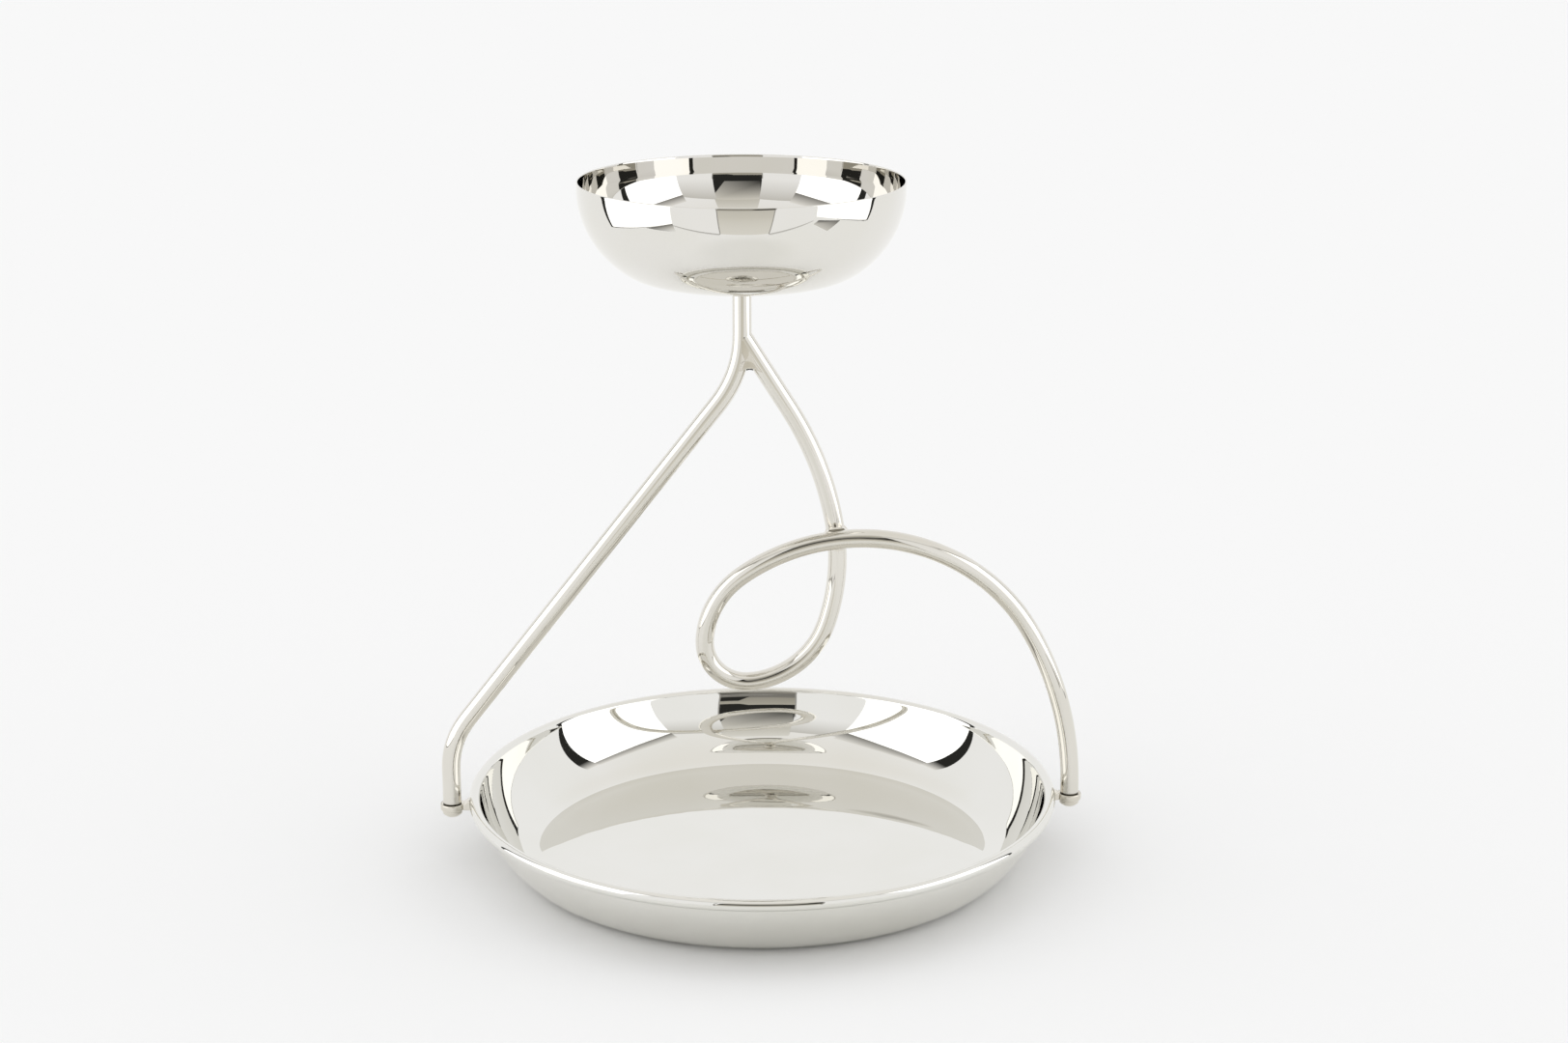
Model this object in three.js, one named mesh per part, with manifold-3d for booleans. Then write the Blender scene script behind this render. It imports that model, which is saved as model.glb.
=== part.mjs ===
// Two-tier serving stand: a shallow spun dish with a rolled rim, a handle of two bent rods that
// stands on lugs at the dish's sides, and a small round bowl on the handle's stem.
// Millimetres, +Z up. The origin is on the table, under the dish's centre. The handle stands in the
// XZ plane, and the front of the stand looks along -Y.

import * as THREE from 'three';
import { mergeVertices } from 'three/addons/utils/BufferGeometryUtils.js';
import Module from 'manifold-3d';

const wasm = await Module();
wasm.setup();

const degree = Math.PI / 180;
const rightAngle = 90 * degree;

// Clearances
const solderGap = 0.3; // between a piece and what it is soldered to
const threadGap = 0.3; // round a screw's shank

// Dish: flat floor, round foot corner, bulging wall, rim rolled outwards over a wire
const dishRadius = 127; // over the rolled rim
const dishHeight = 31.8;
const dishSheet = 1;
const rimRadius = 2.4; // of the roll's section
const rimMouth = 0.4; // from the roll's free edge to the wall
const wallSlope = 77 * degree; // where the wall enters the roll
const wallRadius = 50;
const footCornerRadius = 19;

// Bowl: tucked-in rim, round side, tighter round corner, flat base
const bowlRadius = 67.7;
const bowlDepth = 40.7;
const bowlSheet = 1;
const bowlTuck = 3.4 * degree; // lean of the side at the rim
const bowlSideTurn = 57.4 * degree; // slope where the corner takes over from the side
const bowlCornerRadius = 23.6;

// Rods
const rodRadius = 4;
const footClearance = 3.5; // between the rolled rim and a rod
const loopFoot = 3; // straight run at the loop rod's foot
const riseRadius = 145; // bends of the loop rod, from the foot to the fork
const riseTurn = 30.4 * degree;
const archRadius = 85;
const archTurn = 95.8 * degree;
const dropRadius = 38;
const dropTurn = 52.3 * degree;
const loopRadius = 18.5;
const loopTurn = 95.4 * degree;
const returnRadius = 37;
const returnTurn = 67.6 * degree;
const strandRadius = 90;
const strandTurn = 28.2 * degree;
const leanRadius = 146;
const leanTurn = 22.1 * degree;
const strandLength = 36.7; // straight run from the last bend to the stem's axis
const legCornerHeight = 54; // where the leg's foot and slope would meet
const legFootBend = 36;
const legStemBend = 47;
const stemCornerDrop = 16; // from the fork down to where the slope and the stem would meet
const stemLength = 24.4; // from the fork up to the bowl

// Lugs under the rim, and the screws that hold the rods' feet on them
const lugDrop = 1.7; // from the rolled rim down to the lug's seat
const lugThickness = 2.8;
const lugEyeRadius = 5.2;
const neckWidth = 6.4; // at the dish's wall
const neckEyeWidth = 4.3; // at the eye
const neckRise = 3; // of the neck above the seat, where it meets the rim
const neckStart = 0.9; // from the rod to where the neck begins to rise
const neckSlopeRun = 3;
const shankRadius = 1.85;
const shankLength = 11; // above the lug
const shankTip = 0.6; // chamfer
const boreDepth = 12;
const screwHeadRadius = 4.3;
const screwHeadSide = 1.5;
const screwDome = 2.1;

// Solder
const webDrop = 15.5; // from the fork down to the web's lower edge
const webThickness = 5;
const webArch = 1.2; // rise of the web's lower edge
const crossingSolderRadius = 5.2;
const bowlSolderRadius = 6.9;
const bowlSolderDrop = 2.4;
const solderLip = 0.25;

// Facets
const dishFacets = 72;
const bowlFacets = 64;
const rodSides = 14;
const wireSides = 6;
const lugFacets = 20;
const screwFacets = 24;
const collarFacets = 32;
const ballFacets = 18;
const ballRings = 12;
const bendStep = 7 * degree;
const strandSteps = 3;
const slopeSteps = 2;
const cornerSteps = 4;
const wallSteps = 4;
const sideSteps = 7;
const rollSteps = [2, 3, 5];
const envelopeSteps = 16;
const eyeSteps = 14;
const domeSteps = 5;
const filletSteps = 5;

// Places worked out from the dimensions above
const rimCentre = { r: dishRadius - rimRadius, z: dishHeight - rimRadius };
const footX = dishRadius + footClearance + rodRadius;
const seatZ = rimCentre.z - rimRadius - lugDrop;

// Materials
function metal(name, color, roughness) {
  const material = new THREE.MeshStandardMaterial({ color, roughness, metalness: 1 });
  material.name = name;
  return material;
}
const platedSheet = metal('silver plated sheet', 0xe6e3df, 0.06);
const platedRod = metal('silver plated rod', 0xe4e0d6, 0.08);
const platedFitting = metal('silver plated fitting', 0xdcd8d0, 0.12);
const silverSolder = metal('silver solder', 0xd2cdc4, 0.2);
const rimWire = metal('steel wire', 0x8c8c8c, 0.4);

// Solids
function toSolid(geometry) {
  const bare = geometry.clone();
  bare.deleteAttribute('normal');
  bare.deleteAttribute('uv');
  const merged = mergeVertices(bare, 1e-4);
  const source = merged.index.array;
  const corners = [];
  for (let i = 0; i < source.length; i += 3) {
    const [a, b, c] = [source[i], source[i + 1], source[i + 2]];
    if (a !== b && b !== c && c !== a) corners.push(a, b, c);
  }
  const mesh = new wasm.Mesh({
    numProp: 3,
    vertProperties: new Float32Array(merged.attributes.position.array),
    triVerts: new Uint32Array(corners),
  });
  return new wasm.Manifold(mesh);
}

function toGeometry(solid) {
  const mesh = solid.getMesh();
  const geometry = new THREE.BufferGeometry();
  geometry.setAttribute('position', new THREE.BufferAttribute(mesh.vertProperties, 3));
  geometry.setIndex(new THREE.BufferAttribute(mesh.triVerts, 1));
  geometry.computeVertexNormals();
  return geometry;
}

function cut(geometry, ...tools) {
  return tools.reduce((solid, tool) => solid.subtract(toSolid(tool)), toSolid(geometry));
}

function largestPiece(solid) {
  const pieces = solid.decompose();
  return pieces.reduce((best, piece) => (piece.volume() > best.volume() ? piece : best));
}

function piece(name, geometry, material) {
  const mesh = new THREE.Mesh(geometry, material);
  mesh.name = name;
  return mesh;
}

// Points on an arc of radius r round (x, y), ends included
function arc(x, y, r, from, to, steps) {
  const points = [];
  for (let i = 0; i <= steps; i += 1) {
    const angle = from + ((to - from) * i) / steps;
    points.push(new THREE.Vector2(x + r * Math.cos(angle), y + r * Math.sin(angle)));
  }
  return points;
}

// A closed profile of radius and height, turned about +Z
function turned(profile, facets) {
  return new THREE.LatheGeometry(profile, facets).rotateX(rightAngle);
}

// An outline in X and Z, drawn out along Y to both sides of the handle's plane
function slab(outline, thickness) {
  const geometry = new THREE.ExtrudeGeometry(outline, {
    depth: thickness,
    bevelEnabled: false,
    curveSegments: 6,
  });
  return geometry.rotateX(rightAngle).translate(0, thickness / 2, 0);
}

function upright(radius, bottom, top, sides) {
  return new THREE.CylinderGeometry(radius, radius, top - bottom, sides)
    .rotateX(rightAngle)
    .translate(0, 0, (bottom + top) / 2);
}

// Dish. The wall's outer face is two arcs that meet on one tangent: the foot corner and the wall.
// out moves the face outwards, so -dishSheet gives the inner face.
function dishFace(out) {
  const normal = { r: -Math.sin(wallSlope), z: Math.cos(wallSlope) };
  const rollInside = rimRadius - dishSheet;
  const wallCentre = {
    r: rimCentre.r + (rollInside + wallRadius) * normal.r,
    z: rimCentre.z + (rollInside + wallRadius) * normal.z,
  };
  const reach = wallRadius - footCornerRadius;
  const rise = wallCentre.z - footCornerRadius;
  const cornerCentre = {
    r: wallCentre.r + Math.sqrt(reach * reach - rise * rise),
    z: footCornerRadius,
  };
  const join = Math.atan2(cornerCentre.z - wallCentre.z, cornerCentre.r - wallCentre.r);
  const corner = arc(cornerCentre.r, cornerCentre.z, footCornerRadius + out, -rightAngle, join,
    cornerSteps);
  const wall = arc(wallCentre.r, wallCentre.z, wallRadius + out, join, wallSlope - rightAngle,
    wallSteps);
  return [...corner, ...wall.slice(1)];
}

function rollArc(radius, from, to) {
  const stops = [from, rightAngle, 0, to];
  return rollSteps.flatMap((count, i) => {
    const points = arc(rimCentre.r, rimCentre.z, radius, stops[i], stops[i + 1], count);
    return i === 0 ? points : points.slice(1);
  });
}

function lowerDish() {
  const inner = dishFace(-dishSheet);
  const outer = dishFace(0);
  const rollStart = wallSlope + rightAngle;
  const reach = Math.acos((rimMouth + dishSheet - rimRadius) / rimRadius);
  const rollEnd = wallSlope - rightAngle - reach;
  const rollOuter = rollArc(rimRadius, rollStart, rollEnd);
  const rollInner = rollArc(rimRadius - dishSheet, rollStart, rollEnd);
  const axisTop = new THREE.Vector2(0, dishSheet);
  const axisBottom = new THREE.Vector2(0, 0);
  const profile = [
    axisBottom,
    ...outer.slice(0, -1),
    ...rollInner,
    ...rollOuter.reverse(),
    ...inner.slice(0, -1).reverse(),
    axisTop,
  ];
  return piece('lower_dish', turned(profile, dishFacets), platedSheet);
}

function rimWireRing() {
  const radius = rimRadius - dishSheet - solderGap;
  const section = arc(rimCentre.r, rimCentre.z, radius, 0, 4 * rightAngle, wireSides);
  return piece('rim_wire', turned(section, dishFacets), rimWire);
}

// The dish's outside, swollen by the solder gap, for cutting the lugs to it
function dishEnvelope() {
  const wall = dishFace(solderGap);
  const top = wall[wall.length - 1];
  const profile = [
    new THREE.Vector2(0, -solderGap),
    ...wall,
    new THREE.Vector2(0, top.y),
  ];
  const roll = arc(rimCentre.r, rimCentre.z, rimRadius + solderGap, 0, 4 * rightAngle,
    envelopeSteps);
  return [turned(profile, dishFacets), turned(roll, dishFacets)];
}

// Bowl. out moves the outer face outwards, so -bowlSheet gives the inner face. The heights are
// measured from the rim.
const bowlSideRadius = (bowlDepth - bowlCornerRadius * (1 - Math.sin(bowlSideTurn)))
  / (Math.sin(bowlSideTurn) + Math.sin(bowlTuck));

function bowlFace(out) {
  const centre = {
    r: bowlRadius - bowlSideRadius * Math.cos(bowlTuck),
    z: -bowlSideRadius * Math.sin(bowlTuck),
  };
  const shift = bowlSideRadius - bowlCornerRadius;
  const cornerCentre = {
    r: centre.r + shift * Math.cos(bowlSideTurn),
    z: centre.z - shift * Math.sin(bowlSideTurn),
  };
  const side = arc(centre.r, centre.z, bowlSideRadius + out, bowlTuck, -bowlSideTurn, sideSteps);
  const corner = arc(cornerCentre.r, cornerCentre.z, bowlCornerRadius + out, -bowlSideTurn,
    -rightAngle, cornerSteps);
  return [...side, ...corner.slice(1)];
}

function upperBowl() {
  const profile = [
    new THREE.Vector2(0, -bowlDepth),
    ...bowlFace(0).reverse(),
    ...bowlFace(-bowlSheet),
    new THREE.Vector2(0, bowlSheet - bowlDepth),
  ];
  const bowl = piece('upper_bowl', turned(profile, bowlFacets), platedSheet);
  bowl.position.set(stemX, 0, stemTop + bowlDepth);
  return bowl;
}

// Rods. A rod is walked from its foot as straight runs and bends, heading up at first. A positive
// turn goes towards -X.
function walk(start, moves) {
  const stations = [{ ...start, heading: rightAngle, length: 0 }];
  for (const move of moves) {
    const from = stations[stations.length - 1];
    const turn = move.turn ?? 0;
    const steps = move.steps ?? Math.max(1, Math.ceil(Math.abs(turn) / bendStep));
    const side = Math.sign(turn);
    for (let i = 1; i <= steps; i += 1) {
      const share = i / steps;
      const heading = from.heading + turn * share;
      const along = turn ? Math.abs(turn) * move.radius * share : move.run * share;
      const x = turn
        ? from.x + side * move.radius * (Math.sin(heading) - Math.sin(from.heading))
        : from.x + along * Math.cos(heading);
      const z = turn
        ? from.z - side * move.radius * (Math.cos(heading) - Math.cos(from.heading))
        : from.z + along * Math.sin(heading);
      stations.push({ x, z, heading, length: from.length + along });
    }
  }
  return stations;
}

// The centreline through a rod's stations, each with its offset y from the handle's plane and the
// slope of that offset
class RodCentreline extends THREE.Curve {
  constructor(stations) {
    super();
    this.stations = stations;
  }

  at(u) {
    return this.stations[Math.round(u * (this.stations.length - 1))];
  }

  getPoint(t) {
    const { x, y = 0, z } = this.at(t);
    return new THREE.Vector3(x, y, z);
  }

  getPointAt(u) {
    return this.getPoint(u);
  }

  getTangentAt(u) {
    const { heading, slope = 0 } = this.at(u);
    return new THREE.Vector3(Math.cos(heading), slope, Math.sin(heading)).normalize();
  }
}

function rod(stations, radius) {
  const section = new THREE.Shape(arc(0, 0, radius, 0, 4 * rightAngle, rodSides).slice(0, -1));
  return new THREE.ExtrudeGeometry(section, {
    steps: stations.length - 1,
    extrudePath: new RodCentreline(stations),
    bevelEnabled: false,
  });
}

const loopFlat = walk({ x: footX, z: seatZ }, [
  { run: loopFoot },
  { radius: riseRadius, turn: riseTurn },
  { radius: archRadius, turn: archTurn },
  { radius: dropRadius, turn: dropTurn },
  { radius: loopRadius, turn: loopTurn },
  { radius: returnRadius, turn: returnTurn },
  { radius: strandRadius, turn: strandTurn },
  { radius: leanRadius, turn: leanTurn },
  { run: strandLength, steps: strandSteps },
]);
const fork = loopFlat[loopFlat.length - 1];
const stemX = fork.x;
const stemTop = fork.z + stemLength;

// Where the loop's flat centreline crosses itself, as the two lengths along it
function selfCrossing(stations) {
  for (let i = 0; i + 1 < stations.length; i += 1) {
    for (let j = i + 3; j + 1 < stations.length; j += 1) {
      const [a, b, c, d] = [stations[i], stations[i + 1], stations[j], stations[j + 1]];
      const across = (b.x - a.x) * (d.z - c.z) - (b.z - a.z) * (d.x - c.x);
      const t = ((c.x - a.x) * (d.z - c.z) - (c.z - a.z) * (d.x - c.x)) / across;
      const s = ((c.x - a.x) * (b.z - a.z) - (c.z - a.z) * (b.x - a.x)) / across;
      if (t >= 0 && t < 1 && s >= 0 && s < 1) {
        return {
          x: a.x + t * (b.x - a.x),
          z: a.z + t * (b.z - a.z),
          front: a.length + t * (b.length - a.length),
          back: c.length + s * (d.length - c.length),
          frontIndex: i,
          backIndex: j,
        };
      }
    }
  }
  throw new Error('the loop does not close');
}
const crossing = selfCrossing(loopFlat);
const crossingOffset = rodRadius + solderGap / 2;

// The rod leaves its foot in the handle's plane, passes the crossing in front, goes round the loop
// to pass it again behind, and comes back into the plane at the fork.
function weave(stations) {
  const stops = [0, crossing.front, crossing.back, fork.length];
  const offsets = [0, -crossingOffset, crossingOffset, 0];
  return stations.map((station) => {
    const leg = stops.slice(1, -1).filter((stop) => station.length > stop).length;
    const span = stops[leg + 1] - stops[leg];
    const step = offsets[leg + 1] - offsets[leg];
    const phase = (Math.PI * (station.length - stops[leg])) / span;
    const y = offsets[leg] + (step * (1 - Math.cos(phase))) / 2;
    const slope = (step * Math.PI * Math.sin(phase)) / (2 * span);
    return { ...station, y, slope };
  });
}
const loopStations = weave(loopFlat);

function legStations() {
  const stemCorner = fork.z - stemCornerDrop;
  const across = stemX + footX;
  const up = stemCorner - legCornerHeight;
  const lean = Math.atan2(across, up);
  const footTangent = legFootBend * Math.tan(lean / 2);
  const stemTangent = legStemBend * Math.tan(lean / 2);
  return walk({ x: -footX, z: seatZ }, [
    { run: legCornerHeight - footTangent - seatZ },
    { radius: legFootBend, turn: -lean },
    { run: Math.hypot(across, up) - footTangent - stemTangent, steps: slopeSteps },
    { radius: legStemBend, turn: lean },
    { run: stemTop - stemCorner - stemTangent },
  ]);
}
const leg = legStations();

function screwBore(x) {
  const overcut = 1;
  const radius = shankRadius + threadGap;
  return upright(radius, seatZ - overcut, seatZ + boreDepth, rodSides).translate(x, 0, 0);
}

function legRod() {
  const solid = cut(rod(leg, rodRadius), screwBore(-footX));
  return piece('leg_rod', toGeometry(solid), platedRod);
}

function loopRod() {
  const solid = cut(rod(loopStations, rodRadius), screwBore(footX), rod(leg, rodRadius + solderGap));
  return piece('loop_rod', toGeometry(solid), platedRod);
}

// Where a rod's centreline last rises past a height
function placeAtHeight(stations, z) {
  const below = stations.findLastIndex((station) => station.z <= z);
  const [a, b] = [stations[below], stations[below + 1]];
  return a.x + ((b.x - a.x) * (z - a.z)) / (b.z - a.z);
}

// Solder web in the fork, a wedge between the two rods with a hollow lower edge
function forkSolder() {
  const low = fork.z - webDrop;
  const left = placeAtHeight(leg, low);
  const right = placeAtHeight(loopStations, low);
  const strand = loopStations.slice(-2 - strandSteps);
  const outline = new THREE.Shape();
  outline.moveTo(left, low);
  outline.quadraticCurveTo((left + right) / 2, low + 2 * webArch, right, low);
  outline.lineTo(stemX, fork.z);
  const rods = [leg, strand].map((stations) => rod(stations, rodRadius + solderGap));
  const solid = cut(slab(outline, webThickness), ...rods);
  return piece('fork_solder', toGeometry(largestPiece(solid)), silverSolder);
}

// Solder that fills the corners where the loop's two passes touch
function crossingSolder() {
  const near = 2;
  const pass = (index) => loopStations.slice(index - near, index + near + 2);
  const ball = new THREE.SphereGeometry(crossingSolderRadius, ballFacets, ballRings)
    .rotateX(rightAngle)
    .translate(crossing.x, 0, crossing.z);
  const rods = [crossing.frontIndex, crossing.backIndex]
    .map((index) => rod(pass(index), rodRadius + solderGap));
  return piece('crossing_solder', toGeometry(largestPiece(cut(ball, ...rods))), silverSolder);
}

function bowlSolder() {
  const bore = rodRadius + solderGap;
  const lip = bore + solderLip;
  const spread = bowlSolderRadius - lip;
  const hollow = Array.from({ length: filletSteps + 1 }, (_, i) => {
    const angle = (rightAngle * i) / filletSteps;
    return new THREE.Vector2(
      bowlSolderRadius - spread * Math.cos(angle),
      -bowlSolderDrop + (bowlSolderDrop - solderLip) * Math.sin(angle));
  });
  const profile = [
    new THREE.Vector2(bore, -bowlSolderDrop),
    ...hollow,
    new THREE.Vector2(bowlSolderRadius, 0),
    new THREE.Vector2(bore, 0),
    new THREE.Vector2(bore, -bowlSolderDrop),
  ];
  const ring = piece('bowl_solder', turned(profile, collarFacets), silverSolder);
  ring.position.set(stemX, 0, stemTop);
  return ring;
}

// Lugs. side is -1 at the leg and 1 at the loop rod's foot. The lug is a plate with a round eye and
// a neck that rises under the rim, drawn from the eye's centre towards the dish.
function lug(side) {
  const reach = footX - rimCentre.r + 2 * rimRadius;
  const neckAngle = Math.asin(neckEyeWidth / 2 / lugEyeRadius);
  const plan = new THREE.Shape();
  plan.moveTo(reach, -neckWidth / 2);
  plan.lineTo(reach, neckWidth / 2);
  plan.lineTo(lugEyeRadius * Math.cos(neckAngle), lugEyeRadius * Math.sin(neckAngle));
  plan.absarc(0, 0, lugEyeRadius, neckAngle, 4 * rightAngle - neckAngle, false);
  const height = lugThickness + neckRise;
  const plate = new THREE.ExtrudeGeometry(plan, {
    depth: height,
    bevelEnabled: false,
    curveSegments: eyeSteps,
  }).translate(0, 0, -lugThickness);

  const rise = rodRadius + neckStart;
  const elevation = new THREE.Shape();
  elevation.moveTo(-2 * lugEyeRadius, -lugThickness);
  elevation.lineTo(-2 * lugEyeRadius, 0);
  elevation.lineTo(rise, 0);
  elevation.quadraticCurveTo(rise + neckSlopeRun, 0, rise + neckSlopeRun, neckRise);
  elevation.lineTo(reach, neckRise);
  elevation.lineTo(reach, -lugThickness);
  const outline = slab(elevation, 4 * lugEyeRadius);
  const hole = upright(shankRadius + threadGap, -2 * lugThickness, lugThickness, lugFacets);
  const place = (geometry) => {
    const turn = side > 0 ? 2 * rightAngle : 0;
    return geometry.rotateZ(turn).translate(side * footX, 0, seatZ);
  };
  const solid = toSolid(place(plate)).intersect(toSolid(place(outline)));
  const fitted = [place(hole), ...dishEnvelope()]
    .reduce((body, tool) => body.subtract(toSolid(tool)), solid);
  const name = side < 0 ? 'lug_left' : 'lug_right';
  return piece(name, toGeometry(largestPiece(fitted)), platedFitting);
}

// Screw from below: domed head against the lug, plain shank up into the rod's foot
function screw(side) {
  const headTop = seatZ - lugThickness;
  const headBottom = headTop - screwHeadSide - screwDome;
  const domeRadius = (screwHeadRadius ** 2 + screwDome ** 2) / (2 * screwDome);
  const domeTurn = Math.asin(screwHeadRadius / domeRadius);
  const profile = [
    ...arc(0, headBottom + domeRadius, domeRadius, -rightAngle, domeTurn - rightAngle,
      domeSteps),
    new THREE.Vector2(screwHeadRadius, headTop),
    new THREE.Vector2(shankRadius, headTop),
    new THREE.Vector2(shankRadius, seatZ + shankLength - shankTip),
    new THREE.Vector2(shankRadius - shankTip, seatZ + shankLength),
    new THREE.Vector2(0, seatZ + shankLength),
  ];
  profile[0].x = 0;
  const name = side < 0 ? 'screw_left' : 'screw_right';
  const body = piece(name, turned(profile, screwFacets), platedFitting);
  body.position.x = side * footX;
  return body;
}

const stand = new THREE.Group();
const handle = new THREE.Group();
handle.add(legRod(), loopRod(), forkSolder(), crossingSolder());
stand.add(lowerDish(), rimWireRing(), lug(-1), lug(1), screw(-1), screw(1), handle);
stand.add(upperBowl(), bowlSolder());

export default stand;
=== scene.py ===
"""Looks of the two-tier serving stand: silver plated dish, handle of bent rods and bowl on its stem.

Metres, +Z up, the origin on the table under the dish's centre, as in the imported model.
"""

import math

import bpy
import numpy as np
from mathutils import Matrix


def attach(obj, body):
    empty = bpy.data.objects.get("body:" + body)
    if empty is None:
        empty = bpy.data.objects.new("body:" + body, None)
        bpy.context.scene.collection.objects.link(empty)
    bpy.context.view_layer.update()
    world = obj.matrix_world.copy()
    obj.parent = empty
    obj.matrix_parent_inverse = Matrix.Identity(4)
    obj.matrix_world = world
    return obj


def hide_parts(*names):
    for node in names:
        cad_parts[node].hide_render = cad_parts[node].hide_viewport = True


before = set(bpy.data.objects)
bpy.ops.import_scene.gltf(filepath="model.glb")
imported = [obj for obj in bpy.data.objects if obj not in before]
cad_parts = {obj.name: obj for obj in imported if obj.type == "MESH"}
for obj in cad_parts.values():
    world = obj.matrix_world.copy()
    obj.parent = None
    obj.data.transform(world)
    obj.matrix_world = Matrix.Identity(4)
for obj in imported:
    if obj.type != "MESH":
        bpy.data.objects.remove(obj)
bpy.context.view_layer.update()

MM = 0.001
QUARTER = math.pi / 2

# Dish
DISH_RADIUS = 127 * MM
DISH_HEIGHT = 31.8 * MM
DISH_SHEET = 1 * MM
RIM_RADIUS = 2.4 * MM
RIM_MOUTH = 0.4 * MM
WALL_SLOPE = math.radians(77)
WALL_RADIUS = 50 * MM
FOOT_CORNER_RADIUS = 19 * MM

# Bowl
BOWL_RADIUS = 67.7 * MM
BOWL_DEPTH = 40.7 * MM
BOWL_SHEET = 1 * MM
BOWL_TUCK = math.radians(3.4)
LIP_FLARE = math.radians(4.2)
LIP_DEPTH = 7.9 * MM
BOWL_SIDE_TURN = math.radians(57.4)
BOWL_CORNER_RADIUS = 23.6 * MM

# Rods
ROD_RADIUS = 4 * MM
ROD_EDGE = 0.4 * MM
BEND_EASE = 6 * MM
PATH_STEP = 0.5 * MM
FOOT_CLEARANCE = 3.5 * MM
LOOP_FOOT = 3 * MM
LOOP_BENDS = (  # radius and turn of each bend, from the foot to the fork
    (145 * MM, math.radians(30.4)),
    (85 * MM, math.radians(95.8)),
    (38 * MM, math.radians(52.3)),
    (18.5 * MM, math.radians(95.4)),
    (37 * MM, math.radians(67.6)),
    (90 * MM, math.radians(28.2)),
    (146 * MM, math.radians(22.1)),
)
STRAND_LENGTH = 36.7 * MM
LEG_CORNER_HEIGHT = 54 * MM
LEG_FOOT_BEND = 36 * MM
LEG_STEM_BEND = 47 * MM
STEM_CORNER_DROP = 16 * MM
STEM_LENGTH = 24.4 * MM
CROSSING_GAP = 0.3 * MM

# Lugs and screws
LUG_DROP = 1.7 * MM
LUG_THICKNESS = 2.8 * MM
LUG_EYE_RADIUS = 5.2 * MM
LUG_EDGE = 0.5 * MM
NECK_WIDTH = 6.4 * MM
NECK_EYE_WIDTH = 4.3 * MM
NECK_RISE = 3 * MM
NECK_START = 0.9 * MM
NECK_SLOPE_RUN = 3 * MM
SOLDER_BITE = 0.3 * MM
BORE_RADIUS = 2.15 * MM
BORE_DEPTH = 12 * MM
SHANK_RADIUS = 1.85 * MM
SHANK_LENGTH = 11 * MM
SHANK_TIP = 0.6 * MM
SCREW_HEAD_RADIUS = 4.3 * MM
SCREW_HEAD_SIDE = 1.5 * MM
SCREW_DOME = 2.1 * MM

# Solder
WEB_DROP = 14.9 * MM
WEB_HALF = 3.5 * MM
WEB_ARCH = 1.8 * MM
WEB_ROUND = 0.9 * MM
WEB_TOP_DROP = 1.5 * MM
CROSSING_DEPTH = 0.8 * ROD_RADIUS
CROSSING_WAIST = 4.9 * MM
CROSSING_FLARE = 0.4 * MM
BOWL_SOLDER_RADIUS = 6.9 * MM
BOWL_SOLDER_DROP = 2.4 * MM
SOLDER_LIP = 0.25 * MM

# How finely the surfaces are drawn: facets round them, steps of an arc, points along a line
DISH_FACETS = 360
BOWL_FACETS = 320
ROD_FACETS = 48
FITTING_FACETS = 64
WALL_STEPS = 26
ROLL_INNER_STEPS = 28
ROLL_OUTER_STEPS = 40
BOWL_SIDE_STEPS = 44
BOWL_CORNER_STEPS = 24
LIP_STEPS = 8
EDGE_STEPS = 4
EYE_STEPS = 56
DOME_STEPS = 20
DISH_FLOOR_POINTS = 14
BOWL_FLOOR_POINTS = 10
OPENING_POINTS = 12
EASE_POINTS = 13
NECK_POINTS = 24
LUG_RING_POINTS = 14
WEB_ROWS = 40
WEB_COLUMNS = 25
WEB_ROUND_POINTS = 9
CROSSING_ROWS = 21
RING_POINTS = 16
SHARP_ANGLE = math.radians(40)
SAME_PLACE = 1e-8

# Places worked out from the dimensions above
RIM_CENTRE_R = DISH_RADIUS - RIM_RADIUS
RIM_CENTRE_Z = DISH_HEIGHT - RIM_RADIUS
FOOT_X = DISH_RADIUS + FOOT_CLEARANCE + ROD_RADIUS
SEAT_Z = RIM_CENTRE_Z - RIM_RADIUS - LUG_DROP


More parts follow.
